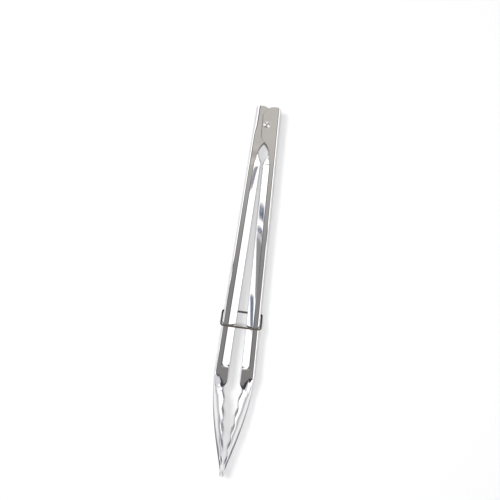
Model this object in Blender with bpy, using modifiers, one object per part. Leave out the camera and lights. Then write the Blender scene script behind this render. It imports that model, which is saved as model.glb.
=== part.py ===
"""Spring loaded kitchen tongs: two pressed stainless arms on a riveted pin, a hidden torsion spring and a wire
lock ring.

Units are metres, +Z up. The tongs lie on their side, closed: the arms run along Y with the hinge end at +Y, they open
in X, and the hinge pin stands along Z. The origin is under the middle of the overall box, so the lowest points of the
scalloped heads are at Z = 0. A place along an arm is given as its distance down from the hinge end.
"""

import math

import bmesh
import bpy
from mathutils import Vector

MM = 0.001

# overall
TONGS_LENGTH = 305 * MM
SHEET = 0.8 * MM                 # stainless sheet of both arms
HEAD_WIDTH = 37.5 * MM           # across the scalloped heads, along the pin
TIP_GAP = 0.4 * MM               # between the two closed tips

# channel of each arm
CHANNEL_WIDTH = 21.5 * MM        # over the two side walls
CHANNEL_CORNER = 2.0 * MM        # outside corner between back and wall
HINGE_HALF = 9.8 * MM            # middle plane to the back, at the hinge end
BACK_SLOPE = 0.0304              # how fast the back leaves the middle plane
LIP_START = 4.4 * MM             # back to the fold where the wall leans in
LIP_DROP = 3.2 * MM              # how far the leaning lip comes in
LIP_ONSET = 0.3                  # share of its width with which the lip begins beside the leaf opening
LIP_SAG = 0.42                   # share of its drop it has come in by half its width
ARM_DEPTH = 10.2 * MM            # back to free edge, just below the leaf opening
DEPTH_GROWTH = 0.0045            # the depth grows this fast towards the head

# hinge end
PIVOT_DROP = 15.1 * MM           # hinge end to pin
LOBE_REACH = 4.4 * MM            # a lobe passes the middle plane by this much
LOBE_CORNER = 5.5 * MM           # its rounded upper corner
LOBE_LENGTH = 24.0 * MM          # straight inner side of the lobe ends here
TOP_ARCH = 1.1 * MM              # crown of the hinge end
ARCH_FADE = 10 * MM              # and how far down it fades out
LEAF_CROSSING = 29.4 * MM        # where the two edges cross, top of the leaf opening
LEAF_WIDEST = 38.0 * MM
LEAF_FULLNESS = 0.85             # under 1 rounds the leaf's shoulders
LEAF_HALF = 4.5 * MM             # half its width there
LEAF_END = 47.7 * MM
NEST_GAP = 0.3 * MM              # between the inner arm's walls and the outer arm's
NEST_END = 31.0 * MM             # the inner arm is narrow down to here
NEST_RUN = 18.0 * MM             # and then widens over this length
LEAF_CROWDING = 1.4              # over 1 crowds the rows towards the top of the leaf

# head
HEAD_LENGTH = 85 * MM            # from the widest point of the backs to the tip
TAB_LENGTH = 5 * MM              # plain flat wall between the lip and the start of the head
LIP_FALL = 3 * MM                # the lip flattens out over this length
TAB_CORNER = 6.5 * MM            # the plain wall ends this far into the head
TAB_FALL = 5 * MM                # and falls back to the rim over this length
RIM_HALF = 8.0 * MM              # rim to middle plane where the head starts, tapering to the tip
DISH_RUN = 18 * MM               # the channel turns into a round dish over this length
DISH_SWEEP = math.radians(70)    # each half of the dish turns this far, so it still leans outward at its rim
NOSE_HALF = 1.9 * MM             # thickness of each narrow nose
NOSE_WIDTH = 7.0 * MM            # its width along the pin
NOSE_START = 0.94                # share of the head where the nose begins
NOSE_TURN = 0.975                # share of the head where its very end turns in
NOSE_TURNED = 0.3                # by this share of its thickness
WIDEST_AT = 0.41                 # share of the head where it is widest
GROWTH_START = 0.14              # share of the head where it starts to widen
SHOULDER_DROP = 15.0 * MM        # a pressed shoulder steps out this far into the head
SHOULDER_RUN = 5.0 * MM          # over this length
SHOULDER_RISE = 1.6 * MM         # by this much
OUTLINE_HOLD = 2.2               # a larger power keeps the head wide for longer
OUTLINE_ROUND = 0.75             # a smaller power makes the nose blunter
FLAT_FROM = 0.6                  # share of the head where the dish starts to get shallow
SCALLOP_PITCH = 13.5 * MM
SCALLOP_DEPTH = 1.5 * MM         # into the head's outline
SCALLOP_NOTCH = 1.3 * MM         # into the rim, away from the other head
FIRST_BAY = 14.5 * MM            # first scallop bay, from the start of the head

# pin
PIN_RADIUS = 2.0 * MM
PIN_CLEARANCE = 0.15 * MM
PIN_HEAD_RADIUS = 2.8 * MM
PIN_HEAD_HEIGHT = 0.8 * MM
PIN_LAND = 0.8 * MM              # the band of wall that holds the pin reaches this far past its heads
PIN_CROWN = 0.35                 # height of a head at its rim, as a share of its middle
PIN_SIDES = 32
HEAD_GAP = 0.1 * MM              # under each head

# spring
SPRING_WIRE = 1.6 * MM
COIL_RADIUS = 4.0 * MM           # to the middle of the wire
COIL_PITCH = 1.9 * MM
COIL_TURNS = 4
LEG_REACH = 26 * MM              # how far below the pin the legs end
LEG_GAP = 0.4 * MM               # leg to the inside of the back

# lock ring
RING_WIRE = 1.5 * MM
RING_CLEARANCE = 0.35 * MM       # each side, over the backs
RING_FROM_TIP = 129.5 * MM       # centre of the ring to the tips
RING_DEPTH = 29.0 * MM           # along the pin, between wire middles
RING_LEAN = math.radians(21)
RING_CORNER = 3.2 * MM

MIDDLE_Z = HEAD_WIDTH / 2
TOP_Y = TONGS_LENGTH / 2
PIVOT = Vector((0, TOP_Y - PIVOT_DROP, MIDDLE_Z))
HEAD_START = TONGS_LENGTH - HEAD_LENGTH
TAB_START = HEAD_START - TAB_LENGTH
LIP_END = TAB_START - LIP_FALL
FULL_HALF = CHANNEL_WIDTH / 2
NEST_HALF = FULL_HALF - SHEET - NEST_GAP
ARC_STEPS = 3
BAY_STEPS = 7
LOBE_TILT = BACK_SLOPE           # the lobe's inner side runs along its arm's back


def clamp(value):
    return min(1.0, max(0.0, value))


def smooth(value):
    value = clamp(value)
    return value * value * (3 - 2 * value)


def mix(a, b, share):
    return a + (b - a) * share


def back(down):
    """Middle plane to the outside of the back."""
    if down <= HEAD_START:
        return HINGE_HALF + BACK_SLOPE * down
    shoulder = HINGE_HALF + BACK_SLOPE * HEAD_START
    share = (down - HEAD_START) / HEAD_LENGTH
    fall = math.cos(math.pi / 2 * min(1.0, share / NOSE_START))
    nose_end = clamp((share - NOSE_TURN) / (1 - NOSE_TURN))
    return NOSE_HALF + (shoulder - NOSE_HALF) * fall - NOSE_TURNED * NOSE_HALF * nose_end ** 2


def scallop(down):
    """1 at the bottom of a bay, 0 at a tooth, fading out at the nose."""
    along = down - HEAD_START - FIRST_BAY
    if along < -SCALLOP_PITCH / 2:
        return 0.0
    wave = (1 + math.cos(2 * math.pi * along / SCALLOP_PITCH)) / 2
    return wave * clamp((TONGS_LENGTH - down) / SCALLOP_PITCH)


def leaf_edge(down):
    """Free edge of the wall from the lobe's lower corner round the leaf opening."""
    if down < LEAF_CROSSING:
        turn = math.pi / 2 * (down - LOBE_LENGTH) / (LEAF_CROSSING - LOBE_LENGTH)
        return (LOBE_TILT * LOBE_LENGTH - LOBE_REACH) * max(0.0, math.cos(turn)) ** LEAF_FULLNESS
    if down < LEAF_WIDEST:
        turn = math.pi / 2 * (down - LEAF_CROSSING) / (LEAF_WIDEST - LEAF_CROSSING)
        return LEAF_HALF * math.sin(turn) ** LEAF_FULLNESS
    share = (down - LEAF_WIDEST) / (LEAF_END - LEAF_WIDEST)
    return mix(LEAF_HALF, back(LEAF_END) - ARM_DEPTH, (1 - math.cos(math.pi * share)) / 2)


def flatness(down):
    """0 where a head is a deep round dish, 1 at the nose, where it is shallow and its sheet lies across the tongs."""
    return smooth(((down - HEAD_START) / HEAD_LENGTH - FLAT_FROM) / (1 - FLAT_FROM))


def free_edge(down):
    """Middle plane to the free edge of the wall, negative where a lobe passes the middle."""
    if down < LOBE_CORNER:
        centre = -LOBE_REACH + LOBE_CORNER
        return centre - math.sqrt(max(0.0, LOBE_CORNER ** 2 - (LOBE_CORNER - down) ** 2))
    if down < LOBE_LENGTH:
        return -LOBE_REACH + LOBE_TILT * down
    if down < LEAF_END:
        return leaf_edge(down)
    shaft = back(min(down, HEAD_START)) - ARM_DEPTH - DEPTH_GROWTH * (down - LEAF_END)
    taper = RIM_HALF * (TONGS_LENGTH - down) / HEAD_LENGTH
    rim = TIP_GAP / 2 + taper + SCALLOP_NOTCH * scallop(down) + SHEET * flatness(down)
    return mix(shaft, rim, smooth((down - HEAD_START - TAB_CORNER) / TAB_FALL))


def half_width(down, hinge_half):
    """Middle of the arm to the outside of a side wall, along the pin."""
    channel = mix(hinge_half, FULL_HALF, smooth((down - NEST_END) / NEST_RUN))
    share = (down - HEAD_START) / HEAD_LENGTH
    if share <= 0:
        return channel
    if share < WIDEST_AT:
        shoulder = SHOULDER_RISE * smooth((down - HEAD_START - SHOULDER_DROP) / SHOULDER_RUN)
        growth = HEAD_WIDTH / 2 - channel - SHOULDER_RISE
        outline = channel + shoulder + growth * smooth((share - GROWTH_START) / (WIDEST_AT - GROWTH_START))
    else:
        round_end = 1 - clamp((share - WIDEST_AT) / (1 - WIDEST_AT)) ** OUTLINE_HOLD
        outline = mix(NOSE_WIDTH / 2, HEAD_WIDTH / 2, round_end ** OUTLINE_ROUND)
    return outline - SCALLOP_DEPTH * scallop(down) * smooth(share / WIDEST_AT)


def section(down, hinge_half):
    """Half of an arm's outside section as (across, along the pin), from the middle of the back to the free edge."""
    outer, edge, half = back(down), free_edge(down), half_width(down, hinge_half)
    lip = smooth((down - LEAF_WIDEST) / (LEAF_END - LEAF_WIDEST)) * smooth((TAB_START - down) / (TAB_START - LIP_END))
    drop = LIP_DROP * lip
    narrowing = smooth((down - LOBE_LENGTH) / (LEAF_WIDEST - LOBE_LENGTH)) * (1 - lip)
    fold = edge + (outer - LIP_START - edge) * mix(1.0, LIP_ONSET, narrowing)
    corner = min(CHANNEL_CORNER, (outer - edge) / 2)
    channel = [(outer, 0.0)]
    for step in range(ARC_STEPS + 1):
        turn = math.pi / 2 * step / ARC_STEPS
        channel.append((outer - corner * (1 - math.cos(turn)), half - corner * (1 - math.sin(turn))))
    channel += [(fold, half), ((fold + edge) / 2, half - LIP_SAG * drop), (edge, half - drop)]
    dish = []
    for step in range(len(channel)):
        turn = DISH_SWEEP * step / (len(channel) - 1)
        rise = math.sin(turn) / math.sin(DISH_SWEEP)
        round_x = (math.cos(turn) - math.cos(DISH_SWEEP)) / (1 - math.cos(DISH_SWEEP))
        dish.append((edge + (outer - edge) * mix(round_x, 1 - rise ** 2, flatness(down)), half * rise))
    share = smooth((down - HEAD_START) / DISH_RUN)
    return [(mix(a[0], b[0], share), mix(a[1], b[1], share)) for a, b in zip(channel, dish)]


def stations():
    """Places along an arm where its section is taken: close together where the outline turns."""
    downs = [LOBE_CORNER * (1 - math.cos(math.pi / 2 * i / 5)) for i in range(6)]
    downs += [PIVOT_DROP - PIN_HEAD_RADIUS - PIN_LAND, PIVOT_DROP + PIN_HEAD_RADIUS + PIN_LAND, LOBE_LENGTH]
    downs += [mix(LOBE_LENGTH, LEAF_CROSSING, 1 - (1 - i / 4) ** LEAF_CROWDING) for i in range(1, 5)]
    downs += [mix(LEAF_CROSSING, LEAF_WIDEST, (i / 5) ** LEAF_CROWDING) for i in range(1, 6)]
    downs += [mix(LEAF_WIDEST, LEAF_END, i / 5) for i in range(1, 6)]
    downs += [mix(LEAF_END, LIP_END, i / 3) for i in range(1, 4)]
    downs += [mix(LIP_END, TAB_START, 0.5), TAB_START, HEAD_START]
    first = HEAD_START + 2 * MM
    count = round((TONGS_LENGTH - first) / (SCALLOP_PITCH / BAY_STEPS))
    downs += [mix(first, TONGS_LENGTH, i / count) for i in range(count + 1)]
    return downs


def new_object(name, mesh, collection, colour, roughness):
    made = bpy.data.objects.new(name, mesh)
    collection.objects.link(made)
    material = bpy.data.materials.new(name)
    material.use_nodes = True
    shader = material.node_tree.nodes["Principled BSDF"]
    shader.inputs["Base Color"].default_value = (*colour, 1)
    shader.inputs["Roughness"].default_value = roughness
    shader.inputs["Metallic"].default_value = 1.0
    mesh.materials.append(material)
    return made


def arm(name, side, hinge_half, collection):
    """One arm as an open lofted surface with its origin on the pin, made solid by Solidify."""
    rows = []
    for down in stations():
        upper = section(down, hinge_half)
        whole = [(x, -z) for x, z in reversed(upper[1:])] + upper
        arch = TOP_ARCH * max(0.0, 1 - down / ARCH_FADE)
        crown = HINGE_HALF - LIP_START
        rows.append([
            Vector((side * x, PIVOT_DROP - down - arch * ((x - crown) / (HINGE_HALF - crown)) ** 2, z))
            for x, z in whole
        ])
    shape = bmesh.new()
    grid = [[shape.verts.new(point) for point in row] for row in rows]
    for upper_row, lower_row in zip(grid, grid[1:]):
        for i in range(len(upper_row) - 1):
            quad = [upper_row[i], upper_row[i + 1], lower_row[i + 1], lower_row[i]]
            shape.faces.new(quad if side > 0 else quad[::-1])
    mesh = bpy.data.meshes.new(name)
    shape.to_mesh(mesh)
    shape.free()
    made = new_object(name, mesh, collection, (0.78, 0.77, 0.75), 0.12)
    made.location = PIVOT
    mesh.shade_smooth()
    thick = made.modifiers.new("sheet", "SOLIDIFY")
    thick.thickness = SHEET
    thick.offset = -1
    thick.use_even_offset = True
    return made


def pin_hole(arms, cutters):
    """Cut the pin's hole through both walls of each arm."""
    bpy.ops.mesh.primitive_cylinder_add(
        vertices=PIN_SIDES, radius=PIN_RADIUS + PIN_CLEARANCE, depth=1.2 * CHANNEL_WIDTH, location=PIVOT
    )
    cutter = bpy.context.object
    cutter.name = "pin_hole_cutter"
    for holder in list(cutter.users_collection):
        holder.objects.unlink(cutter)
    cutters.objects.link(cutter)
    cutter.hide_render = True
    cutter.display_type = "WIRE"
    for made in arms:
        cut = made.modifiers.new("pin_hole", "BOOLEAN")
        cut.operation = "DIFFERENCE"
        cut.object = cutter


def pivot_pin(collection):
    """Turned rivet: a shank and two low staked heads."""
    seat = FULL_HALF + HEAD_GAP
    top = seat + PIN_HEAD_HEIGHT
    upper = [(0, top)]
    for i in range(1, 5):
        turn = math.pi / 2 * i / 4
        height = PIN_HEAD_HEIGHT * mix(PIN_CROWN, 1, math.cos(turn))
        upper.append((PIN_HEAD_RADIUS * math.sin(turn), seat + height))
    upper += [(PIN_HEAD_RADIUS, seat), (PIN_RADIUS, seat)]
    profile = upper + [(x, -z) for x, z in reversed(upper)]
    mesh = bpy.data.meshes.new("pivot_pin")
    mesh.from_pydata([(x, 0, z) for x, z in profile], [(i, i + 1) for i in range(len(profile) - 1)], [])
    made = new_object("pivot_pin", mesh, collection, (0.72, 0.71, 0.69), 0.25)
    made.location = PIVOT
    turn = made.modifiers.new("turned", "SCREW")
    turn.steps = PIN_SIDES
    turn.render_steps = PIN_SIDES
    turn.use_merge_vertices = True
    turn.merge_threshold = 0.00001
    return made


def wire(name, points, radius, closed, collection, colour, roughness, sides):
    curve = bpy.data.curves.new(name, "CURVE")
    curve.dimensions = "3D"
    spline = curve.splines.new("POLY")
    spline.points.add(len(points) - 1)
    for held, point in zip(spline.points, points):
        held.co = (*point, 1)
    spline.use_cyclic_u = closed
    spline.use_smooth = True
    curve.bevel_depth = radius
    curve.bevel_resolution = sides
    curve.use_fill_caps = not closed
    return new_object(name, curve, collection, colour, roughness)


def torsion_spring(collection):
    """A close coil round the pin, with two straight legs that press the backs apart."""
    half_length = COIL_TURNS * COIL_PITCH / 2
    foot = Vector((back(PIVOT_DROP + LEG_REACH) - SHEET - LEG_GAP - SPRING_WIRE / 2, -LEG_REACH, 0))
    # the leg leaves the coil along the line from the foot that just touches it
    reach = math.hypot(foot.x, foot.y)
    start = math.atan2(foot.y, foot.x) + math.acos(COIL_RADIUS / reach)
    turns = COIL_TURNS * 2 * math.pi + (math.pi - 2 * start)
    count = round(turns / math.radians(30))
    points = [(foot.x, foot.y, -half_length)]
    for i in range(count + 1):
        angle = start + turns * i / count
        height = mix(-half_length, half_length, i / count)
        points.append((COIL_RADIUS * math.cos(angle), COIL_RADIUS * math.sin(angle), height))
    points.append((-foot.x, foot.y, half_length))
    made = wire("torsion_spring", points, SPRING_WIRE / 2, False, collection, (0.45, 0.44, 0.43), 0.3, 2)
    made.location = PIVOT
    return made


def lock_ring(collection):
    """A rectangle of round wire with rounded corners, leaning on the arms."""
    down = TONGS_LENGTH - RING_FROM_TIP
    lean_run = RING_DEPTH / 2 * math.sin(RING_LEAN)
    half_x = back(down + lean_run) + RING_CLEARANCE + RING_WIRE / 2
    half_z = RING_DEPTH / 2
    points = []
    for corner, (sx, sz) in enumerate([(1, 1), (-1, 1), (-1, -1), (1, -1)]):
        for i in range(5):
            angle = math.pi / 2 * (corner + i / 4)
            x = sx * (half_x - RING_CORNER) + RING_CORNER * math.cos(angle)
            z = sz * (half_z - RING_CORNER) + RING_CORNER * math.sin(angle)
            points.append((x, -z * math.tan(RING_LEAN), z))
    made = wire("lock_ring", points, RING_WIRE / 2, True, collection, (0.50, 0.46, 0.42), 0.2, 3)
    made.location = (0, TOP_Y - down, MIDDLE_Z)
    return made


def main():
    for old in list(bpy.data.objects):
        bpy.data.objects.remove(old)
    parts = bpy.data.collections.new("kitchen_tongs")
    cutters = bpy.data.collections.new("cutters")
    bpy.context.scene.collection.children.link(parts)
    bpy.context.scene.collection.children.link(cutters)
    arms = [arm("left_arm", -1, NEST_HALF, parts), arm("right_arm", 1, FULL_HALF, parts)]
    pin_hole(arms, cutters)
    pivot_pin(parts)
    torsion_spring(parts)
    lock_ring(parts)


main()
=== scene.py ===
# %% [markdown]
# # Spring loaded kitchen tongs
#
# Two arms are pressed from stainless sheet, one nested in the other at the hinge. A staked rivet holds
# them, a coil spring hidden on the rivet pushes them open, and a wire ring slides down over both backs to
# lock them shut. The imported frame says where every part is. This lesson dresses it: each part is modelled
# again with the fine shape that a mirror finish needs, and given steel that shows how it was made and
# handled.
#
# A polished surface is hard to fake, because it shows every facet of the mesh. So the arms here are one
# smooth loft each, with many rows, and the studio is as much a part of the finish as the steel is.

# %% Load the frame and read its sizes
import math

import bmesh
import bpy
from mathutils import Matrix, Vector
from mathutils.bvhtree import BVHTree


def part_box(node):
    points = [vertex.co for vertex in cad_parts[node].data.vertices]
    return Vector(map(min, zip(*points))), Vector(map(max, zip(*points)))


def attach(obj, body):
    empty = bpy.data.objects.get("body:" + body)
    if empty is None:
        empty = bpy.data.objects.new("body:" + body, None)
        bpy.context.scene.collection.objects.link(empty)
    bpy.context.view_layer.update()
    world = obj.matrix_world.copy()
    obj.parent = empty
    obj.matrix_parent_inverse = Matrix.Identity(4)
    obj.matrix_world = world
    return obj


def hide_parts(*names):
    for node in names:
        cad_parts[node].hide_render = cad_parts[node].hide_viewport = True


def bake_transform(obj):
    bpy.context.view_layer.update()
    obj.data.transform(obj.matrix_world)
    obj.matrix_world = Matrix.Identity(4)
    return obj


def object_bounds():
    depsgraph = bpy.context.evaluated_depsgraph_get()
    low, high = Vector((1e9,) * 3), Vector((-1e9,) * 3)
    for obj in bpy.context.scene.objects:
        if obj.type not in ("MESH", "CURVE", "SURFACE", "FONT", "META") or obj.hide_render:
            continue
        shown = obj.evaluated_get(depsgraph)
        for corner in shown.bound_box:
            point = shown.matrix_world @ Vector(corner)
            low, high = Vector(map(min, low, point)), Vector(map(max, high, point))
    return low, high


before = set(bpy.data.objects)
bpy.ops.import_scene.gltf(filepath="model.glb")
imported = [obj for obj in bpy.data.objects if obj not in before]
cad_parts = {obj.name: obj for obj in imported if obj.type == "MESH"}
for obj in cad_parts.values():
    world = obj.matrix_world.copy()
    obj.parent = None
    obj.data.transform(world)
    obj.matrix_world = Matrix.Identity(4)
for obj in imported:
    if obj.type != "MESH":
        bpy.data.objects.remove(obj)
cad_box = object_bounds()
MM = 0.001

tongs_low, tongs_high = (Vector(corner) for corner in cad_box)
pin_low, pin_high = (Vector(corner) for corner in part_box("pivot_pin"))
ring_low, ring_high = (Vector(corner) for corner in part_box("lock_ring"))
PIVOT = (pin_low + pin_high) / 2
TONGS_LENGTH = tongs_high.y - tongs_low.y
TOP_Y = tongs_high.y
HEAD_WIDTH = tongs_high.z - tongs_low.z
MIDDLE_Z = PIVOT.z
print(f"tongs {TONGS_LENGTH / MM:.1f} mm long and {HEAD_WIDTH / MM:.1f} mm across the heads")
print(f"pin at y {PIVOT.y / MM:.1f} mm, ring from y {ring_low.y / MM:.1f} mm")

# %% [markdown]
# ## The outline of an arm
#
# Seen along the pin, an arm is a back line, straight until the head and then a cosine down to a narrow
# nose, and a free edge. The free edge runs round the hinge lobe, dips beside the leaf-shaped opening,
# follows the back at a constant depth and ends in five scallops. Each of them is a short rule, so the whole
# arm can be sampled as finely as the polish asks for. A place along the arm is its distance down from the
# hinge end.

# %% Sizes of the pressing
# the sheet and the channel
SHEET = 0.8 * MM
TIP_GAP = 0.4 * MM
CHANNEL_WIDTH = 21.5 * MM
CHANNEL_CORNER = 2.0 * MM
INNER_CORNER = 3.2 * MM
HINGE_HALF = 9.8 * MM
BACK_SLOPE = 0.0304
LIP_START = 4.4 * MM
LIP_DROP = 3.2 * MM
LIP_ONSET = 0.3
ARM_DEPTH = 10.2 * MM
DEPTH_GROWTH = 0.0045

# the hinge end
PIVOT_DROP = TOP_Y - PIVOT.y
LOBE_REACH = 4.4 * MM
LOBE_CORNER = 5.5 * MM
LOBE_LENGTH = 24.0 * MM
TOP_ARCH = 1.1 * MM
ARCH_FADE = 10 * MM
LEAF_CROSSING = 29.4 * MM
LEAF_WIDEST = 38.0 * MM
LEAF_FULLNESS = 0.85
LEAF_HALF = 4.5 * MM
LEAF_END = 47.7 * MM
NEST_GAP = 0.3 * MM
NEST_END = 31.0 * MM
NEST_RUN = 18.0 * MM

# the head
HEAD_LENGTH = 85 * MM
TAB_LENGTH = 5 * MM
LIP_FALL = 3 * MM
TAB_CORNER = 6.5 * MM
TAB_FALL = 5 * MM
RIM_HALF = 8.0 * MM
DISH_RUN = 18 * MM
DISH_SWEEP = math.radians(70)
NOSE_HALF = 1.9 * MM
NOSE_WIDTH = 7.0 * MM
NOSE_START = 0.94
NOSE_TURN = 0.975
NOSE_TURNED = 0.3
FLAT_FROM = 0.6
WIDEST_AT = 0.41
OUTLINE_HOLD = 2.2
OUTLINE_ROUND = 0.75
GROWTH_START = 0.14
SHOULDER_DROP = 15.0 * MM
SHOULDER_RUN = 5.0 * MM
SHOULDER_RISE = 1.6 * MM
SCALLOP_PITCH = 13.5 * MM
SCALLOP_DEPTH = 1.5 * MM
SCALLOP_NOTCH = 1.3 * MM
FIRST_BAY = 14.5 * MM

HEAD_START = TONGS_LENGTH - HEAD_LENGTH
TAB_START = HEAD_START - TAB_LENGTH
LIP_END = TAB_START - LIP_FALL
FULL_HALF = CHANNEL_WIDTH / 2
NEST_HALF = FULL_HALF - SHEET - NEST_GAP
print(f"head from {HEAD_START / MM:.0f} mm down, inner arm {2 * NEST_HALF / MM:.1f} mm wide at the hinge")


# %% Back line, free edge and width
def mix(a, b, share):
    """From a to b as share goes from 0 to 1."""
    return a + (b - a) * share


def clamp(value):
    """value, kept between 0 and 1."""
    return min(1.0, max(0.0, value))


def smooth(value):
    """0 to 1 with a soft start and a soft end."""
    value = clamp(value)
    return value * value * (3 - 2 * value)


def head_share(down):
    """0 where the head starts, 1 at the tip."""
    return (down - HEAD_START) / HEAD_LENGTH


def back(down):
    """Middle plane to the outside of the back."""
    if down <= HEAD_START:
        return HINGE_HALF + BACK_SLOPE * down
    shoulder = HINGE_HALF + BACK_SLOPE * HEAD_START
    fall = math.cos(math.pi / 2 * min(1.0, head_share(down) / NOSE_START))
    nose_end = clamp((head_share(down) - NOSE_TURN) / (1 - NOSE_TURN))
    return NOSE_HALF + (shoulder - NOSE_HALF) * fall - NOSE_TURNED * NOSE_HALF * nose_end ** 2


def scallop(down):
    """1 at the bottom of a bay, 0 at a tooth, fading out at the nose."""
    along = down - HEAD_START - FIRST_BAY
    if along < -SCALLOP_PITCH / 2:
        return 0.0
    wave = (1 + math.cos(2 * math.pi * along / SCALLOP_PITCH)) / 2
    return wave * clamp((TONGS_LENGTH - down) / SCALLOP_PITCH)


def flatness(down):
    """0 where a head is a deep round dish, 1 at the shallow nose."""
    return smooth((head_share(down) - FLAT_FROM) / (1 - FLAT_FROM))


def leaf_edge(down):
    """Free edge from the lobe's lower corner round the leaf opening."""
    if down < LEAF_CROSSING:
        turn = math.pi / 2 * (down - LOBE_LENGTH) / (LEAF_CROSSING - LOBE_LENGTH)
        return (BACK_SLOPE * LOBE_LENGTH - LOBE_REACH) * max(0.0, math.cos(turn)) ** LEAF_FULLNESS
    if down < LEAF_WIDEST:
        turn = math.pi / 2 * (down - LEAF_CROSSING) / (LEAF_WIDEST - LEAF_CROSSING)
        return LEAF_HALF * math.sin(turn) ** LEAF_FULLNESS
    share = (down - LEAF_WIDEST) / (LEAF_END - LEAF_WIDEST)
    return mix(LEAF_HALF, back(LEAF_END) - ARM_DEPTH, (1 - math.cos(math.pi * share)) / 2)


def free_edge(down):
    """Middle plane to the free edge of the wall, negative where a lobe passes the middle."""
    if down < LOBE_CORNER:
        rise = max(0.0, LOBE_CORNER ** 2 - (LOBE_CORNER - down) ** 2)
        return LOBE_CORNER - LOBE_REACH - math.sqrt(rise)
    if down < LOBE_LENGTH:
        return BACK_SLOPE * down - LOBE_REACH
    if down < LEAF_END:
        return leaf_edge(down)
    shaft = back(min(down, HEAD_START)) - ARM_DEPTH - DEPTH_GROWTH * (down - LEAF_END)
    taper = RIM_HALF * (TONGS_LENGTH - down) / HEAD_LENGTH
    rim = TIP_GAP / 2 + taper + SCALLOP_NOTCH * scallop(down) + SHEET * flatness(down)
    return mix(shaft, rim, smooth((down - HEAD_START - TAB_CORNER) / TAB_FALL))


def half_width(down, hinge_half):
    """Middle of the arm to the outside of a side wall, along the pin."""
    channel = mix(hinge_half, FULL_HALF, smooth((down - NEST_END) / NEST_RUN))
    share = head_share(down)
    if share <= 0:
        return channel
    if share < WIDEST_AT:
        shoulder = SHOULDER_RISE * smooth((down - HEAD_START - SHOULDER_DROP) / SHOULDER_RUN)
        growth = HEAD_WIDTH / 2 - channel - SHOULDER_RISE
        grown = smooth((share - GROWTH_START) / (WIDEST_AT - GROWTH_START))
        outline = channel + shoulder + growth * grown
    else:
        round_end = 1 - clamp((share - WIDEST_AT) / (1 - WIDEST_AT)) ** OUTLINE_HOLD
        outline = mix(NOSE_WIDTH / 2, HEAD_WIDTH / 2, round_end ** OUTLINE_ROUND)
    return outline - SCALLOP_DEPTH * scallop(down) * smooth(share / WIDEST_AT)


for place, down in (
    ("hinge end", 0.0), ("leaf opening", LEAF_WIDEST), ("ring", TOP_Y - ring_low.y), ("head", HEAD_START),
):
    print(f"{place}: back {back(down) / MM:.2f}, free edge {free_edge(down) / MM:.2f} mm")

# %% [markdown]
# ## One section, from the middle of the back to the free edge
#
# The channel has a flat back, a tight corner, a flat wall and a lip that folds in. A mirror shows where a
# surface stops being flat, so extra points stand close to each bend and keep the flats flat. In the head
# the channel dissolves into a round dish. Both sections are sampled with the same number of points, so one
# can be mixed into the other.

# %% Section of the sheet
BACK_SHARES = (0.0, 0.4, 0.75, 0.94, 0.99)
CORNER_STEPS = 9
WALL_SHARES = (0.03, 0.15, 0.4, 0.7, 0.92, 0.985)
LIP_SHARES = (0.0, 0.02, 0.05, 0.1, 0.17, 0.28, 0.42, 0.58, 0.74, 0.86, 0.94, 0.98, 1.0)
FOLD_SOFTNESS = 0.07
LIP_BOW = 0.35


def lip_fall(share):
    """Share of the lip's drop at a share of its width: a quick bend at the fold, then nearly straight."""
    bend = math.hypot(share, FOLD_SOFTNESS) - FOLD_SOFTNESS
    straight = bend / (math.hypot(1, FOLD_SOFTNESS) - FOLD_SOFTNESS)
    return mix(straight, share * share, LIP_BOW)


def channel_points(down, hinge_half):
    """Half a section of the channel: flat back, corner, wall and lip."""
    outer, edge, half = back(down), free_edge(down), half_width(down, hinge_half)
    onset = smooth((down - LEAF_WIDEST) / (LEAF_END - LEAF_WIDEST))
    lip = onset * smooth((TAB_START - down) / LIP_FALL)
    narrowing = smooth((down - LOBE_LENGTH) / (LEAF_WIDEST - LOBE_LENGTH)) * (1 - onset)
    fold = edge + (outer - LIP_START - edge) * mix(1.0, LIP_ONSET, narrowing)
    corner = CHANNEL_CORNER
    if hinge_half < FULL_HALF:
        tightening = smooth((down - PIVOT_DROP) / (LOBE_LENGTH - PIVOT_DROP))
        corner = mix(INNER_CORNER, CHANNEL_CORNER, tightening)
    corner = min(corner, (outer - edge) / 2)
    points = [(outer, (half - corner) * share) for share in BACK_SHARES]
    for step in range(CORNER_STEPS + 1):
        turn = math.pi / 2 * step / CORNER_STEPS
        points.append((outer - corner * (1 - math.cos(turn)), half - corner * (1 - math.sin(turn))))
    points += [(mix(outer - corner, fold, share), half) for share in WALL_SHARES]
    points += [(mix(fold, edge, share), half - LIP_DROP * lip * lip_fall(share)) for share in LIP_SHARES]
    return points


def dish_points(down, hinge_half, count):
    """Half a section of the head: a round dish that gets shallow towards the nose."""
    outer, edge, half = back(down), free_edge(down), half_width(down, hinge_half)
    points = []
    for step in range(count):
        turn = DISH_SWEEP * step / (count - 1)
        rise = math.sin(turn) / math.sin(DISH_SWEEP)
        round_in = (math.cos(turn) - math.cos(DISH_SWEEP)) / (1 - math.cos(DISH_SWEEP))
        bulge = mix(round_in, 1 - rise ** 2, flatness(down))
        points.append((edge + (outer - edge) * bulge, half * rise))
    return points


def section(down, hinge_half):
    """Half a section at a place along the arm, as (out from the middle plane, along the pin)."""
    channel = channel_points(down, hinge_half)
    dish = dish_points(down, hinge_half, len(channel))
    share = smooth((down - HEAD_START) / DISH_RUN)
    return [(mix(a[0], b[0], share), mix(a[1], b[1], share)) for a, b in zip(channel, dish)]


print(f"{len(section(HEAD_START, FULL_HALF))} points in half a section")

# %% [markdown]
# ## Rows along the arm
#
# Rows are close where the outline turns: round the lobe's corner, through the leaf opening, where the lip
# ends and all over the scalloped head. The straight shaft needs only a few, since both the back and the
# edges are straight.


# %% Stations
def spread(start, end, step):
    """Even places from just after start up to end, about step apart."""
    count = max(1, round((end - start) / step))
    return [mix(start, end, i / count) for i in range(1, count + 1)]


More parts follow.
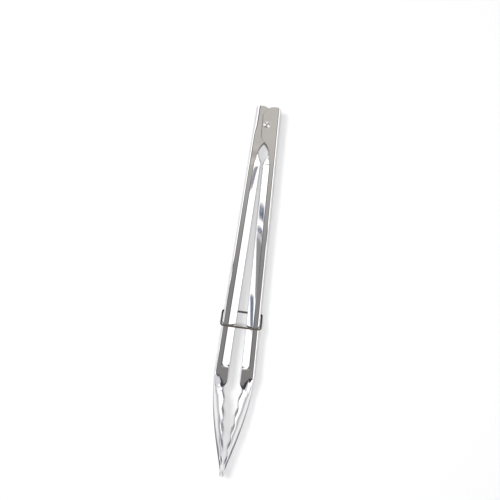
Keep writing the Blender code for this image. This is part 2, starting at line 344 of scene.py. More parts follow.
# each stretch ends at a place along the arm and has its own distance between rows
CORNER_ROWS = 14
STRETCHES = (
    (LOBE_LENGTH, 2 * MM), (LEAF_CROSSING - 0.8 * MM, 0.6 * MM), (LEAF_CROSSING + 0.8 * MM, 0.2 * MM),
    (LEAF_END + 2 * MM, 0.6 * MM), (LIP_END - 1 * MM, 7 * MM), (TAB_START + 1 * MM, 0.4 * MM),
    (TONGS_LENGTH, 0.75 * MM),
)


def stations():
    """Places of the rows, from the hinge end to the tip."""
    downs = [LOBE_CORNER * (1 - math.cos(math.pi / 2 * i / CORNER_ROWS)) for i in range(CORNER_ROWS + 1)]
    start = LOBE_CORNER
    for end, step in STRETCHES:
        downs += spread(start, end, step)
        start = end
    return downs


print(f"{len(stations())} rows along each arm")

# %% [markdown]
# ## From rows to sheet metal
#
# The rows become an open surface, the outside of the sheet. Solidify gives it the sheet's thickness
# inwards, a Boolean drills the pin's hole and a narrow Bevel breaks the cut edges, as tumbling does on the
# real pressing.
#
# Three point attributes tell the steel where it is. "rim" fades from the free edge into the sheet and shows
# the brushed edge. The seam value does so beside the lobes only, and marks where a dark line of painted
# shade lies between the arms. "inside" is 1 on the inner skin, which the polishing wheel can't reach.

# %% Mesh helpers
PIN_HOLE_RADIUS = 2.15 * MM
DRILL_LENGTH = 1.2 * CHANNEL_WIDTH


def grid_mesh(name, rows, flip):
    """Faces between rows of points. flip turns them over."""
    shape = bmesh.new()
    grid = [[shape.verts.new(point) for point in row] for row in rows]
    for upper, lower in zip(grid, grid[1:]):
        for i in range(len(upper) - 1):
            corners = [upper[i], upper[i + 1], lower[i + 1], lower[i]]
            shape.faces.new(corners[::-1] if flip else corners)
    mesh = bpy.data.meshes.new(name)
    shape.to_mesh(mesh)
    shape.free()
    return mesh


def add_piece(name, mesh):
    piece = bpy.data.objects.new(name, mesh)
    bpy.context.scene.collection.objects.link(piece)
    return piece


def apply_modifiers(piece):
    """Replace a piece's mesh by what its modifiers make of it."""
    bpy.context.view_layer.update()
    evaluated = piece.evaluated_get(bpy.context.evaluated_depsgraph_get())
    baked = bpy.data.meshes.new_from_object(evaluated)
    piece.modifiers.clear()
    piece.data = baked


def pin_drill():
    """A cylinder through all four walls, used once for each arm."""
    bpy.ops.mesh.primitive_cylinder_add(
        vertices=64, radius=PIN_HOLE_RADIUS, depth=DRILL_LENGTH, location=PIVOT
    )
    return bpy.context.object


print(f"the drill is {2 * PIN_HOLE_RADIUS / MM:.1f} mm across and {DRILL_LENGTH / MM:.1f} mm long")

# %% Arm maker
RIM_BAND = 0.9 * MM
EDGE_BREAK = 0.16 * MM
INSIDE_FROM = 0.3
INSIDE_TO = 0.7
CUT_EDGE_ANGLE = math.radians(55)
FOLD_ANGLE = math.radians(50)


def rim_values(row):
    """1 on the free edge, falling to 0 over the rim band, for the points of one row."""
    values = []
    for point in row:
        reach = min((point - row[0]).length, (point - row[-1]).length)
        values.append(clamp(1 - reach / RIM_BAND))
    return values


def arm_rows(side, hinge_half):
    """Rows of points over the outside of the sheet, crowned at the hinge end."""
    rows = []
    crown = HINGE_HALF - LIP_START
    for down in stations():
        upper = section(down, hinge_half)
        whole = [(x, -z) for x, z in reversed(upper[1:])] + upper
        arch = TOP_ARCH * max(0.0, 1 - down / ARCH_FADE)
        row = []
        for x, z in whole:
            bow = arch * ((x - crown) / (HINGE_HALF - crown)) ** 2
            row.append(Vector((side * x, TOP_Y - down - bow, MIDDLE_Z + z)))
        rows.append(row)
    return rows


def add_values(piece, name, values):
    """Keep one number for each point of a piece, for its material to read."""
    piece.data.attributes.new(name, "FLOAT", "POINT").data.foreach_set("value", values)


def mark_edges(piece, rows):
    """The rim values of an open surface, and the seam values that mark the painted shade line beside the
    lobes.
    """
    rims = [rim_values(row) for row in rows]
    # painted shade: the seam values hold a dark line painted on the sheet beside the lobes
    painted_shade_fade = [smooth((LEAF_CROSSING - down) / (LEAF_CROSSING - LOBE_LENGTH)) for down in stations()]
    painted_seam_shades = [share * value for share, values in zip(painted_shade_fade, rims) for value in values]
    rims[0] = rims[-1] = [1.0] * len(rows[0])
    add_values(piece, "rim", [value for values in rims for value in values])
    add_values(piece, "painted_seam_shade", painted_seam_shades)


def arm_piece(name, side, hinge_half):
    rows = arm_rows(side, hinge_half)
    piece = add_piece(name, grid_mesh(name, rows, side < 0))
    mark_edges(piece, rows)
    corners = [vertex.co.copy() for vertex in piece.data.vertices]
    outside = BVHTree.FromPolygons(corners, [face.vertices[:] for face in piece.data.polygons])
    thick = piece.modifiers.new("sheet", "SOLIDIFY")
    thick.thickness = SHEET
    thick.offset = -1
    thick.use_even_offset = True
    broken = piece.modifiers.new("broken edges", "BEVEL")
    broken.width = EDGE_BREAK
    broken.segments = 2
    broken.limit_method = "ANGLE"
    broken.angle_limit = CUT_EDGE_ANGLE
    apply_modifiers(piece)
    drill = pin_drill()
    cut = piece.modifiers.new("pin hole", "BOOLEAN")
    cut.operation = "DIFFERENCE"
    cut.object = drill
    apply_modifiers(piece)
    bpy.data.objects.remove(drill)
    depths = [outside.find_nearest(vertex.co)[3] / SHEET for vertex in piece.data.vertices]
    insides = [smooth((depth - INSIDE_FROM) / (INSIDE_TO - INSIDE_FROM)) for depth in depths]
    add_values(piece, "inside", insides)
    piece.data.shade_smooth()
    piece.data.set_sharp_from_angle(angle=FOLD_ANGLE)
    return piece


left_arm = arm_piece("left_arm_sheet", -1, NEST_HALF)
right_arm = arm_piece("right_arm_sheet", 1, FULL_HALF)
for arm, node, body in ((left_arm, "left_arm", "left_side"), (right_arm, "right_arm", "right_side")):
    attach(arm, body)
    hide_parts(node)
    print(f"{arm.name}: {len(arm.data.polygons)} faces")

# %% [markdown]
# ## The staked rivet
#
# The rivet's ends are not turned but struck: a three-pointed punch spreads the shank, and leaves three
# rounded swellings on a low head. A polar grid of points carries both the dome and the swellings as
# heights, so one closed mesh holds the two heads and the shank between them.

# %% Rivet's struck heads
RIVET_RADIUS = pin_high.x - PIVOT.x
RIVET_TOP = pin_high.z - PIVOT.z
SHANK_RADIUS = 2.0 * MM
SHANK_FILLET = 0.1 * MM
HEAD_CLEARANCE = 0.1 * MM
HEAD_SEAT = FULL_HALF + HEAD_CLEARANCE
DOME_RISE = 0.50 * MM
DOME_CROWN = 0.25
RIM_HEIGHT = 0.35
RIM_FROM = 0.86
STAKE_SOFTNESS = 0.35
# degrees round the head, distance from its middle, size and height of each struck swelling
STAKES = (
    (96, 1.45 * MM, 0.80 * MM, 0.36 * MM), (190, 1.65 * MM, 1.05 * MM, 0.47 * MM),
    (322, 1.65 * MM, 1.05 * MM, 0.47 * MM),
)


def stake_height(x, y):
    """Height of the struck swellings over the low dome: cones with soft feet."""
    height = 0.0
    for degrees, reach, size, rise in STAKES:
        turn = math.radians(degrees)
        away = math.hypot(x - reach * math.cos(turn), y - reach * math.sin(turn))
        inside = clamp(1 - away / size)
        height = max(height, rise * mix(inside, smooth(inside), STAKE_SOFTNESS))
    return height


def head_height(radius, x, y):
    """Outer face of a head above its seat."""
    base = RIVET_TOP - HEAD_SEAT - DOME_RISE
    share = radius / RIVET_RADIUS
    dome = base + DOME_RISE * DOME_CROWN * (1 - share ** 2)
    edge = math.sqrt(max(0.0, 1 - clamp((share - RIM_FROM) / (1 - RIM_FROM)) ** 2))
    return (dome + stake_height(x, y)) * mix(RIM_HEIGHT, 1.0, edge)


print(f"{len(STAKES)} stakes on a head {2 * RIVET_RADIUS / MM:.1f} mm across")

# %% Rivet maker
RIVET_SPOKES = 96
RIVET_RINGS = 26
SHARP_ANGLE = math.radians(60)


def rivet_piece():
    """Two heads and the shank between them. A height of None in the profile follows the struck head."""
    shape = bmesh.new()
    rings = [math.pi / 2 * (i + 1) / RIVET_RINGS for i in range(RIVET_RINGS)]
    profile = [(RIVET_RADIUS * math.sin(turn), None) for turn in rings]
    profile += [(RIVET_RADIUS, 0.0), (SHANK_RADIUS + SHANK_FILLET, 0.0), (SHANK_RADIUS, -SHANK_FILLET)]
    loops = []
    for side in (1, -1):
        half = []
        for radius, height in profile:
            loop = []
            for spoke in range(RIVET_SPOKES):
                turn = 2 * math.pi * spoke / RIVET_SPOKES
                x, y = radius * math.cos(turn), radius * math.sin(turn)
                rise = head_height(radius, x, y) if height is None else height
                loop.append(shape.verts.new(PIVOT + Vector((x, y, side * (HEAD_SEAT + rise)))))
            half.append(loop)
        loops += half if side > 0 else half[::-1]
    for upper, lower in zip(loops, loops[1:]):
        for i in range(RIVET_SPOKES):
            j = (i + 1) % RIVET_SPOKES
            shape.faces.new((upper[i], lower[i], lower[j], upper[j]))
    for loop, side in ((loops[0], 1), (loops[-1], -1)):
        centre = shape.verts.new(PIVOT + Vector((0, 0, side * (HEAD_SEAT + head_height(0.0, 0.0, 0.0)))))
        for i in range(RIVET_SPOKES):
            pair = (loop[i], loop[(i + 1) % RIVET_SPOKES])
            shape.faces.new((centre, *(pair if side > 0 else pair[::-1])))
    mesh = bpy.data.meshes.new("staked_rivet")
    shape.to_mesh(mesh)
    shape.free()
    mesh.shade_smooth()
    mesh.set_sharp_from_angle(angle=SHARP_ANGLE)
    return add_piece("staked_rivet", mesh)


rivet = rivet_piece()
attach(rivet, "left_side")
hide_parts("pivot_pin")
print(f"{rivet.name}: {len(rivet.data.polygons)} faces")

# %% [markdown]
# ## The hidden spring
#
# A torsion spring is a helix with two straight legs. Each leg leaves the coil along its tangent and lies
# along the inside of a back. A curve gives the round wire, and it is turned into a mesh.

# %% Wire maker
WELD_DISTANCE = 0.001 * MM


def wire_piece(name, points, radii, wire, closed):
    """Round wire along points, as a mesh."""
    curve = bpy.data.curves.new(name, "CURVE")
    curve.dimensions = "3D"
    spline = curve.splines.new("POLY")
    spline.points.add(len(points) - 1)
    for held, point, radius in zip(spline.points, points, radii):
        held.co = (*point, 1)
        held.radius = radius
    spline.use_cyclic_u = closed
    curve.bevel_depth = wire / 2
    curve.bevel_resolution = 6
    curve.use_fill_caps = not closed
    drawn = bpy.data.objects.new(name, curve)
    bpy.context.scene.collection.objects.link(drawn)
    bpy.context.view_layer.update()
    evaluated = drawn.evaluated_get(bpy.context.evaluated_depsgraph_get())
    mesh = bpy.data.meshes.new_from_object(evaluated)
    bpy.data.objects.remove(drawn)
    welded = bmesh.new()
    welded.from_mesh(mesh)
    bmesh.ops.remove_doubles(welded, verts=welded.verts, dist=WELD_DISTANCE)
    welded.to_mesh(mesh)
    welded.free()
    mesh.name = name
    mesh.shade_smooth()
    mesh.set_sharp_from_angle(angle=SHARP_ANGLE)
    return add_piece(name, mesh)


print("wires are curves, turned into meshes")

# %% Spring maker
SPRING_WIRE = 1.6 * MM
COIL_RADIUS = 4.0 * MM
COIL_PITCH = 1.9 * MM
COIL_TURNS = 4
COIL_STEP = math.radians(7.5)
LEG_REACH = 26 * MM
LEG_GAP = 0.4 * MM
LEG_STEPS = 8


def spring_piece():
    """A helix round the rivet. Its legs are tangents from the coil to the two feet on the backs."""
    half_length = COIL_TURNS * COIL_PITCH / 2
    foot_x = back(PIVOT_DROP + LEG_REACH) - SHEET - LEG_GAP - SPRING_WIRE / 2
    tangent = math.acos(COIL_RADIUS / math.hypot(foot_x, LEG_REACH))
    start = math.atan2(-LEG_REACH, foot_x) + tangent
    turns = COIL_TURNS * 2 * math.pi + math.pi - 2 * start
    count = round(turns / COIL_STEP)
    coil = []
    for i in range(count + 1):
        angle = start + turns * i / count
        height = mix(-half_length, half_length, i / count)
        coil.append(Vector((COIL_RADIUS * math.cos(angle), COIL_RADIUS * math.sin(angle), height)))
    feet = Vector((foot_x, -LEG_REACH, -half_length)), Vector((-foot_x, -LEG_REACH, half_length))
    first_leg = [feet[0].lerp(coil[0], i / LEG_STEPS) for i in range(LEG_STEPS)]
    last_leg = [coil[-1].lerp(feet[1], i / LEG_STEPS) for i in range(1, LEG_STEPS + 1)]
    points = [PIVOT + point for point in first_leg + coil + last_leg]
    return wire_piece("spring_wire", points, [1.0] * len(points), SPRING_WIRE, False)


spring = spring_piece()
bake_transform(spring)
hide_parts("torsion_spring")
print(f"{spring.name}: {COIL_TURNS} turns of {SPRING_WIRE / MM:.1f} mm wire")

# %% [markdown]
# ## The lock ring
#
# The ring is a length of round wire bent to a rectangle and butt-welded. It leans, because the closed arms
# wedge it: the front run sits nearer the heads than the back run. Its size is read from the frame. The
# weld, in the middle of the back run, is slightly thicker than the wire, as a ground-off weld is.

# %% Ring maker
RING_WIRE = 1.5 * MM
RING_CORNER = 3.2 * MM
WELD_SWELL = 0.09
WELD_HALF = 1.2 * MM
# places of the points that carry the weld, from its middle
WELD_POINTS = (-2.4, -1.2, -0.8, -0.4, 0, 0.4, 0.8, 1.2, 2.4)
CORNER_ARC = 12


def ring_piece():
    """A leaning rectangle of wire with round corners, drawn corner by corner."""
    middle = (ring_low + ring_high) / 2
    half = (ring_high - ring_low) / 2 - Vector((RING_WIRE, RING_WIRE, RING_WIRE)) / 2
    straight_x, straight_z = half.x - RING_CORNER, half.z - RING_CORNER
    lean = half.y / half.z
    outline = []
    for corner, (sx, sz) in enumerate(((1, 1), (-1, 1), (-1, -1), (1, -1))):
        for step in range(CORNER_ARC + 1):
            turn = math.pi / 2 * (corner + step / CORNER_ARC)
            x = sx * straight_x + RING_CORNER * math.cos(turn)
            z = sz * straight_z + RING_CORNER * math.sin(turn)
            outline.append((x, z))
        if sz < 0 and sx < 0:
            outline += [(offset * MM, -half.z) for offset in WELD_POINTS]
    points = [middle + Vector((x, -z * lean, z)) for x, z in outline]
    radii = []
    for x, z in outline:
        on_weld = z < 0 and abs(x) < WELD_HALF
        radii.append(1 + WELD_SWELL * smooth(1 - abs(x) / WELD_HALF) if on_weld else 1.0)
    return wire_piece("ring_wire", points, radii, RING_WIRE, True)


ring = ring_piece()
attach(ring, "ring")
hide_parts("lock_ring")
print(f"{ring.name}: {(ring_high.x - ring_low.x) / MM:.1f} mm across")


# %% [markdown]
# ## Steel
#
# All four finishes are stainless steel, and they share one set of marks: fine hairlines left by polishing,
# soft smudges from handling and a few deeper scuffs. A node group holds those marks once. Each material
# places it with its own amounts, and the pressed sheet adds what only it has: worn edges, a painted shade
# line beside the lobes and a satin inside.


# %% Helpers for node trees
def add_node(tree, kind, inputs=(), **settings):
    """Add a node, set its properties, and link or set its inputs."""
    node = tree.nodes.new(kind)
    for key, value in settings.items():
        setattr(node, key, value)
    for key, value in dict(inputs).items():
        if isinstance(value, bpy.types.NodeSocket):
            tree.links.new(value, node.inputs[key])
        else:
            node.inputs[key].default_value = value
    return node


def calculate(tree, operation, *values):
    """A Math node on sockets or numbers."""
    return add_node(tree, "ShaderNodeMath", dict(enumerate(values)), operation=operation).outputs[0]


def remap(tree, value, low, high, at_low=0.0, at_high=1.0):
    """A Map Range node: at_low where value is low or less, at_high where it is high or more."""
    ends = {"Value": value, "From Min": low, "From Max": high, "To Min": at_low, "To Max": at_high}
    return add_node(tree, "ShaderNodeMapRange", ends).outputs[0]


def mix_colours(tree, share, first, second, how="MIX"):
    """A Mix node on two colours: first where share is 0, second where it is 1."""
    colours = {0: share, 6: first, 7: second}
    return add_node(tree, "ShaderNodeMix", colours, data_type="RGBA", blend_type=how).outputs[2]


def noise(tree, place, scale, detail, roughness=0.5):
    """A Noise Texture node, 0 to 1."""
    settings = {"Vector": place, "Scale": scale, "Detail": detail, "Roughness": roughness}
    return add_node(tree, "ShaderNodeTexNoise", settings).outputs["Fac"]


def fill_ramp(ramp, stops):
    """Set a colour ramp's stops from (place, colour) pairs."""
    elements = ramp.color_ramp.elements
    while len(elements) < len(stops):
        elements.new(0.5)
    for element, (place, colour) in zip(elements, stops):
        element.position = place
        element.color = (*colour, 1)


print("node helpers: calculate, remap, mix_colours, noise, fill_ramp")

# %% Node group: handling marks
# noise scales are in cells per metre
SMUDGE_SCALE, HAIR_SCALE, SCUFF_SCALE, PATCH_SCALE, WAVE_SCALE = 55.0, 5200.0, 420.0, 90.0, 28.0
# a smudge or a patch of scuffs fades in between these values of its noise
SMUDGE_FROM_TO = (0.42, 0.75)
PATCH_FROM_TO = (0.55, 0.7)
SCUFF_WIDTH = 0.03
HAIR_ROUGHENS = 0.25
RIM_ROUGHENS = 0.22
SMUDGE_DIMS = 0.05
WAVE_HEIGHT = 0.4 * MM
HAIR_HEIGHT = 0.01 * MM
MARK_INPUTS = (
    ("Polish", 0.05), ("Smudge", 0.05), ("Hairline", 0.1), ("Hairline Stretch", 60.0), ("Scuff", 0.1),
    ("Wave", 0.1), ("Rim", 0.0),
)


def handling_marks():
    """Colour, roughness and normal of handled, polished steel, from object coordinates in metres."""
    group = bpy.data.node_groups.new("handling marks", "ShaderNodeTree")
    face = group.interface
    steel_tone = face.new_socket("Steel", in_out="INPUT", socket_type="NodeSocketColor")
    steel_tone.default_value = (0.8, 0.8, 0.8, 1)
    for name, value in MARK_INPUTS:
        face.new_socket(name, in_out="INPUT", socket_type="NodeSocketFloat").default_value = value
    face.new_socket("Colour", in_out="OUTPUT", socket_type="NodeSocketColor")
    face.new_socket("Roughness", in_out="OUTPUT", socket_type="NodeSocketFloat")
    face.new_socket("Normal", in_out="OUTPUT", socket_type="NodeSocketVector")
    entry = group.nodes.new("NodeGroupInput").outputs
    leave = group.nodes.new("NodeGroupOutput").inputs
    place = add_node(group, "ShaderNodeTexCoord").outputs["Object"]

    smudge = remap(group, noise(group, place, SMUDGE_SCALE, 3.0, 0.6), *SMUDGE_FROM_TO)
    # hairlines run along the arms, so the noise is squeezed across them and drawn out along Y
    inverse = calculate(group, "DIVIDE", 1.0, entry["Hairline Stretch"])
    stretch = add_node(group, "ShaderNodeCombineXYZ", {"X": 1.0, "Y": inverse, "Z": 1.0}).outputs[0]
    drawn = add_node(group, "ShaderNodeVectorMath", {0: place, 1: stretch}, operation="MULTIPLY").outputs[0]
    hair = noise(group, drawn, HAIR_SCALE, 2.0)
    # scuffs are the borders of long cells, and only some patches have them
    cells = add_node(
        group, "ShaderNodeTexVoronoi", {"Vector": drawn, "Scale": SCUFF_SCALE}, feature="DISTANCE_TO_EDGE"
    )
    scuff = remap(group, cells.outputs["Distance"], 0.0, SCUFF_WIDTH, 1.0, 0.0)
    patch = remap(group, noise(group, place, PATCH_SCALE, 1.0), *PATCH_FROM_TO)
    scuffed = calculate(group, "MULTIPLY", calculate(group, "MULTIPLY", scuff, patch), entry["Scuff"])

    rough = calculate(group, "MULTIPLY_ADD", smudge, entry["Smudge"], entry["Polish"])
    hairy = calculate(group, "MULTIPLY", hair, entry["Hairline"])
    rough = calculate(group, "MULTIPLY_ADD", hairy, HAIR_ROUGHENS, rough)
    rough = calculate(group, "ADD", rough, scuffed)
    rough = calculate(group, "MULTIPLY_ADD", entry["Rim"], RIM_ROUGHENS, rough)
    group.links.new(rough, leave["Roughness"])

    dim = calculate(group, "MULTIPLY_ADD", smudge, -SMUDGE_DIMS, 1.0)
    shade = add_node(group, "ShaderNodeVectorMath", {0: entry["Steel"], "Scale": dim}, operation="SCALE")
    group.links.new(shade.outputs[0], leave["Colour"])

    # the press leaves long shallow waves in the sheet, and they bend what it reflects
    wave = noise(group, place, WAVE_SCALE, 1.0, 0.4)
    waved = add_node(
        group, "ShaderNodeBump", {"Height": wave, "Strength": entry["Wave"], "Distance": WAVE_HEIGHT}
    )
    lined = add_node(
        group, "ShaderNodeBump",
        {"Height": hair, "Strength": entry["Hairline"], "Distance": HAIR_HEIGHT, "Normal": waved.outputs[0]},
    )
    group.links.new(lined.outputs["Normal"], leave["Normal"])
    return group


MARKS = handling_marks()
print(f"{MARKS.name}: {len(MARKS.nodes)} nodes")


# %% Steel maker
INSIDE_METAL = 0.72
INSIDE_ROUGHNESS = 0.20
# how dark the painted shade line beside the lobes gets, and the mask values over which it fades in
PAINTED_SEAM_SHADE = 0.45
PAINTED_SEAM_EDGE = (0.25, 0.8)


def steel(name, tone, pressed=False, **marks):
    """A steel with its own amounts of each mark. A pressed one also reads the sheet's attributes."""
    material = bpy.data.materials.new(name)
    material.use_nodes = True
    tree = material.node_tree
    shader = tree.nodes["Principled BSDF"]
    shader.inputs["Metallic"].default_value = 1.0
    group = add_node(tree, "ShaderNodeGroup", node_tree=MARKS)
    group.inputs["Steel"].default_value = (*tone, 1)
    for key, value in marks.items():
        group.inputs[key.replace("_", " ").title()].default_value = value
    colour, rough = group.outputs["Colour"], group.outputs["Roughness"]
    if pressed:
        rim, painted_seam_shade, inside = (
            add_node(tree, "ShaderNodeAttribute", attribute_name=attribute).outputs["Fac"]
            for attribute in ("rim", "painted_seam_shade", "inside")
        )
        tree.links.new(rim, group.inputs["Rim"])
        # painted shade: the edge of a lobe gets a dark line painted where it lies on the other arm
        line = remap(tree, painted_seam_shade, *PAINTED_SEAM_EDGE, 1.0, PAINTED_SEAM_SHADE)
        colour = add_node(
            tree, "ShaderNodeVectorMath", {0: colour, "Scale": line}, operation="SCALE"
        ).outputs[0]
        # the inside keeps a satin haze
        haze = add_node(tree, "ShaderNodeMix", {0: inside, 2: 1.0, 3: INSIDE_METAL}).outputs[0]
        tree.links.new(haze, shader.inputs["Metallic"])
        rough = calculate(tree, "MULTIPLY_ADD", inside, INSIDE_ROUGHNESS, rough)
    tree.links.new(colour, shader.inputs["Base Color"])
    tree.links.new(rough, shader.inputs["Roughness"])
    tree.links.new(group.outputs["Normal"], shader.inputs["Normal"])
    return material


sheet_steel = steel(
    "mirror polished sheet", (0.82, 0.815, 0.815), pressed=True,
    polish=0.015, smudge=0.03, hairline=0.03, hairline_stretch=80.0, scuff=0.08, wave=0.2,
)
rivet_steel = steel(
    "struck rivet", (0.78, 0.77, 0.75), polish=0.16, smudge=0.08, hairline=0.08, scuff=0.2, wave=0.1
)
spring_steel = steel(
    "drawn spring wire", (0.46, 0.45, 0.44), polish=0.28, smudge=0.1, hairline=0.12, scuff=0.1, wave=0.0
)
ring_steel = steel(
    "polished wire", (0.14, 0.128, 0.108), polish=0.12, smudge=0.08, hairline=0.06, scuff=0.15, wave=0.0
)
for piece, finish in (
    (left_arm, sheet_steel), (right_arm, sheet_steel), (rivet, rivet_steel), (spring, spring_steel),
    (ring, ring_steel),
):
    piece.data.materials.clear()
    piece.data.materials.append(finish)
    print(f"{piece.name}: {finish.name}")

# %% [markdown]
# ## Studio
#
# Polished steel has no colour of its own to show: it shows the room. Straight above the tongs the room is a
# soft warm grey, lighter beyond the hinge than beyond the heads, and the flat walls take their grey from
# there. Round it is a dark band, then bright walls down to the horizon, which turn the rounded corners and
# the lips white.
#
# Studios also hang a few dark cards in such a room, to give a white lip some drawing. Each card here is a
# soft-edged mask on a direction, so it lies in the world, where it can't stand in the way of another view.

# %% Node group: a card in the room
CARD_INPUTS = ("Along", "Angle", "Side", "At Along", "At Angle", "Half Along", "Half Angle", "Slant")
CARD_EDGE = (0.82, 1.08)


def card_group():
    """Mask of a soft-edged card on one side of the room, placed by its direction from the tongs."""
    group = bpy.data.node_groups.new("card", "ShaderNodeTree")
    face = group.interface
    for name in CARD_INPUTS:
        face.new_socket(name, in_out="INPUT", socket_type="NodeSocketFloat")
    face.new_socket("Mask", in_out="OUTPUT", socket_type="NodeSocketFloat")
    entry = group.nodes.new("NodeGroupInput").outputs
    leave = group.nodes.new("NodeGroupOutput").inputs
    off = calculate(group, "SUBTRACT", entry["Along"], entry["At Along"])
    along = calculate(group, "ABSOLUTE", calculate(group, "DIVIDE", off, entry["Half Along"]))
    middle = calculate(group, "MULTIPLY_ADD", off, entry["Slant"], entry["At Angle"])
    angle = calculate(group, "SUBTRACT", entry["Angle"], middle)
    angle = calculate(group, "ABSOLUTE", calculate(group, "DIVIDE", angle, entry["Half Angle"]))
    mask = remap(group, calculate(group, "MAXIMUM", along, angle), *CARD_EDGE, 1.0, 0.0)
    here = calculate(group, "GREATER_THAN", entry["Side"], 0.0)
    group.links.new(calculate(group, "MULTIPLY", mask, here), leave["Mask"])
    return group


CARD = card_group()
print(f"{CARD.name}: {len(CARD.nodes)} nodes")

# %% World
# degrees from overhead, and the room's colour there
ROOM_BY_ANGLE = (
    (0, (0.45, 0.44, 0.43)), (15, (0.25, 0.25, 0.25)), (20, (0.05, 0.05, 0.06)), (34, (0.07, 0.075, 0.09)),
    (42, (1.5, 1.5, 1.5)), (68, (1.5, 1.5, 1.5)), (80, (1.25, 1.25, 1.27)), (90, (0.85, 0.85, 0.87)),
)
HORIZON = 90
# share of the way from the heads' end to the hinge end, and the ceiling's colour there
CEILING_ALONG_Y = (
    (0.0, (0.26, 0.25, 0.25)), (0.42, (0.29, 0.28, 0.275)), (0.62, (0.42, 0.41, 0.40)),
    (0.8, (0.60, 0.575, 0.54)), (1.0, (0.62, 0.59, 0.55)),
)
CEILING_ENDS = (-0.15, 0.15)
CEILING_EDGE = (13.0, 18.0)
BEYOND_HINGE = (0.22, 0.34)
BEYOND_COLOUR = (0.36, 0.36, 0.37, 1)
ROOM_ON_TABLE = 0.2
# side, Y of the direction, degrees from overhead, half sizes of both, degrees of slant per unit of Y, colour
CARDS = (
    (1, 0.037, 50.0, 0.008, 13.0, 900.0, (0.36, 0.36, 0.41)),
    (-1, 0.010, 56.0, 0.0055, 14.0, 600.0, (0.16, 0.19, 0.27)),
    (-1, -0.0068, 54.0, 0.0035, 16.0, 1400.0, (0.16, 0.19, 0.27)),
    (-1, -0.0370, 43.0, 0.0265, 16.0, 460.0, (0.34, 0.34, 0.35)),
    (-1, -0.073, 54.0, 0.0125, 8.0, 700.0, (0.22, 0.26, 0.35)),
    (-1, -0.55, 65.0, 0.22, 40.0, 0.0, (0.80, 0.80, 0.87)),
    (1, -0.40, 52.0, 0.09, 14.0, 0.0, (0.70, 0.70, 0.72)),
)


def hang_cards(tree, room, axes, degrees):
    """Lay each card over the room's colour."""
    for side, at_along, at_angle, half_along, half_angle, slant, colour in CARDS:
        mask = add_node(tree, "ShaderNodeGroup", node_tree=CARD)
        facing = calculate(tree, "MULTIPLY", axes["X"], side)
        for key, value in (("Along", axes["Y"]), ("Angle", degrees), ("Side", facing)):
            tree.links.new(value, mask.inputs[key])
        for key, value in zip(CARD_INPUTS[3:], (at_along, at_angle, half_along, half_angle, slant)):
            mask.inputs[key].default_value = value
        room = mix_colours(tree, mask.outputs["Mask"], room, (*colour, 1))
    return room


def studio_world():
    world = bpy.data.worlds.new("studio")
    bpy.context.scene.world = world
    world.use_nodes = True
    tree = world.node_tree
    ground = tree.nodes["Background"].inputs
    way = add_node(tree, "ShaderNodeTexCoord").outputs["Generated"]
    axes = add_node(tree, "ShaderNodeSeparateXYZ", {0: way}).outputs
    degrees = calculate(tree, "MULTIPLY", calculate(tree, "ARCCOSINE", axes["Z"]), math.degrees(1))
    walls = add_node(tree, "ShaderNodeValToRGB", {"Fac": calculate(tree, "DIVIDE", degrees, HORIZON)})
    fill_ramp(walls, [(angle / HORIZON, colour) for angle, colour in ROOM_BY_ANGLE])
    # straight overhead the room is lighter towards the hinge end than towards the heads
    ceiling = add_node(tree, "ShaderNodeValToRGB", {"Fac": remap(tree, axes["Y"], *CEILING_ENDS)})
    fill_ramp(ceiling, CEILING_ALONG_Y)
    overhead = remap(tree, degrees, *CEILING_EDGE, 1.0, 0.0)
    room = mix_colours(tree, overhead, walls.outputs["Color"], ceiling.outputs["Color"])
    # beyond the hinge the dark band is lighter, so the scalloped rims stay soft
    beyond = remap(tree, axes["Y"], *BEYOND_HINGE)
    lifted = mix_colours(tree, beyond, (0, 0, 0, 1), BEYOND_COLOUR)
    room = mix_colours(tree, 1.0, room, lifted, "LIGHTEN")
    room = hang_cards(tree, room, axes, degrees)
    # the lamps light the table, so the room only adds a little to it
    ray = add_node(tree, "ShaderNodeLightPath").outputs["Is Diffuse Ray"]
    strength = add_node(tree, "ShaderNodeMix", {0: ray, 2: 1.0, 3: ROOM_ON_TABLE}).outputs[0]
    tree.links.new(room, ground["Color"])
    tree.links.new(strength, ground["Strength"])
    return world


print(f"{studio_world().name}: {len(CARDS)} cards")

# %% [markdown]
# ## Floor, lamps and camera
#
# The tongs lie on a pale table. The key lamp stands to the left, over the hinge end, and gives them a soft
# shadow to the right. A smaller lamp overhead shines down between the arms, so the gap doesn't go dark. The
# camera looks straight down, turned a little, so that the tongs lean as they would on a page.
#
# The table also has painted shade and a painted reflection that only the steel's reflections see: a dark
# strip of painted shadow near the tongs that outlines them, a darker reach further off, and a grey card
# painted by the left head.

# %% Floor
FLOOR_SIZE = 6.0
FLOOR_DROP = 0.02 * MM
TABLE_TONE = (0.86, 0.86, 0.865, 1)
# colour and Y range of the grey card painted on the table, a painted reflection
PAINTED_CARD_REFLECTION_TONE = (0.60, 0.60, 0.66, 1)
PAINTED_CARD_REFLECTION_EDGE = (-0.155, -0.125)
TABLE_REACH = 0.2
# painted shade for the steel's reflections only: share of that reach from the middle of the tongs, and how
# much of the table's tone the steel sees there
PAINTED_TABLE_SHADE = (
    (0.10, (0.22, 0.22, 0.24)), (0.17, (1, 1, 1)), (0.35, (1, 1, 1)), (0.65, (0.60, 0.60, 0.62)),
)


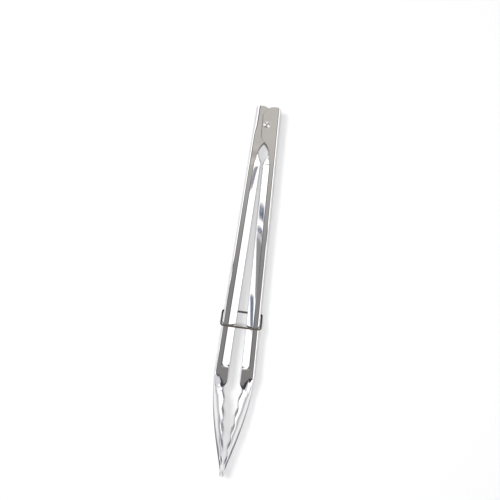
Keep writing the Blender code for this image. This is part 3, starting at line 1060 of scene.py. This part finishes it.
def floor():
    bpy.ops.mesh.primitive_plane_add(size=FLOOR_SIZE, location=(0, 0, tongs_low.z - FLOOR_DROP))
    plane = bpy.context.object
    plane.name = "table"
    material = bpy.data.materials.new("pale table")
    material.use_nodes = True
    tree = material.node_tree
    shader = tree.nodes["Principled BSDF"].inputs
    shader["Roughness"].default_value = 0.7
    shader["Specular IOR Level"].default_value = 0.2
    mirrored = add_node(tree, "ShaderNodeLightPath").outputs["Is Glossy Ray"]
    place = add_node(tree, "ShaderNodeNewGeometry").outputs["Position"]
    axes = add_node(tree, "ShaderNodeSeparateXYZ", {0: place}).outputs
    # painted reflection: the grey card by the left head, painted on the table for the steel's reflections
    # only
    low = remap(tree, axes["Y"], *PAINTED_CARD_REFLECTION_EDGE, 1.0, 0.0)
    left = calculate(tree, "LESS_THAN", axes["X"], 0.0)
    card = calculate(tree, "MULTIPLY", calculate(tree, "MULTIPLY", low, left), mirrored)
    tone = mix_colours(tree, card, TABLE_TONE, PAINTED_CARD_REFLECTION_TONE)
    # painted shade: a dark strip near the tongs and a darker reach further off, for the steel's reflections
    # only
    away = remap(tree, calculate(tree, "ABSOLUTE", axes["X"]), 0.0, TABLE_REACH)
    shade = add_node(tree, "ShaderNodeValToRGB", {"Fac": away})
    fill_ramp(shade, PAINTED_TABLE_SHADE)
    shaded = mix_colours(tree, 1.0, tone, shade.outputs["Color"], "MULTIPLY")
    tree.links.new(mix_colours(tree, mirrored, tone, shaded), shader["Base Color"])
    plane.data.materials.append(material)
    return plane


print(f"{floor().name}: {FLOOR_SIZE:.0f} m square")

# %% Lamps
# place, size in metres and power in watts
LAMPS = {
    "key": (Vector((-0.36, 0.18, 1.40)), 0.28, 8.5),
    "top": (Vector((0.0, 0.0, 1.5)), 0.15, 14.5),
}


def lamp(name, place, size, power):
    """A soft lamp aimed at the tongs. Steel shows the room, not the lamps."""
    light = bpy.data.lights.new(name, "AREA")
    light.size = size
    light.energy = power
    held = bpy.data.objects.new(name, light)
    bpy.context.scene.collection.objects.link(held)
    held.location = place
    held.rotation_euler = (-place).to_track_quat("-Z", "Y").to_euler()
    held.visible_camera = False
    held.visible_glossy = False


for name, (place, size, power) in LAMPS.items():
    lamp(name, place, size, power)
    print(f"{name} lamp: {size:.2f} m across, {power} W")

# %% Camera
VIEW_WIDTH = 0.411
CAMERA_HEIGHT = 1.0
SENSOR = 36.0
AIM = Vector((-0.0005, 0.0347, MIDDLE_Z))
ROLL = math.radians(7.385)


def camera():
    """A camera straight above its aim, as wide as the view at the tongs' own height."""
    lens = bpy.data.cameras.new("camera")
    lens.sensor_width = SENSOR
    lens.lens = SENSOR * CAMERA_HEIGHT / VIEW_WIDTH
    held = bpy.data.objects.new("camera", lens)
    bpy.context.scene.collection.objects.link(held)
    held.location = AIM + Vector((0, 0, CAMERA_HEIGHT))
    held.rotation_euler = (0, 0, ROLL)
    bpy.context.scene.camera = held
    return lens


print(f"camera: {camera().lens:.0f} mm lens, {CAMERA_HEIGHT:.0f} m up")
bpy.context.scene.view_settings.view_transform = "Standard"
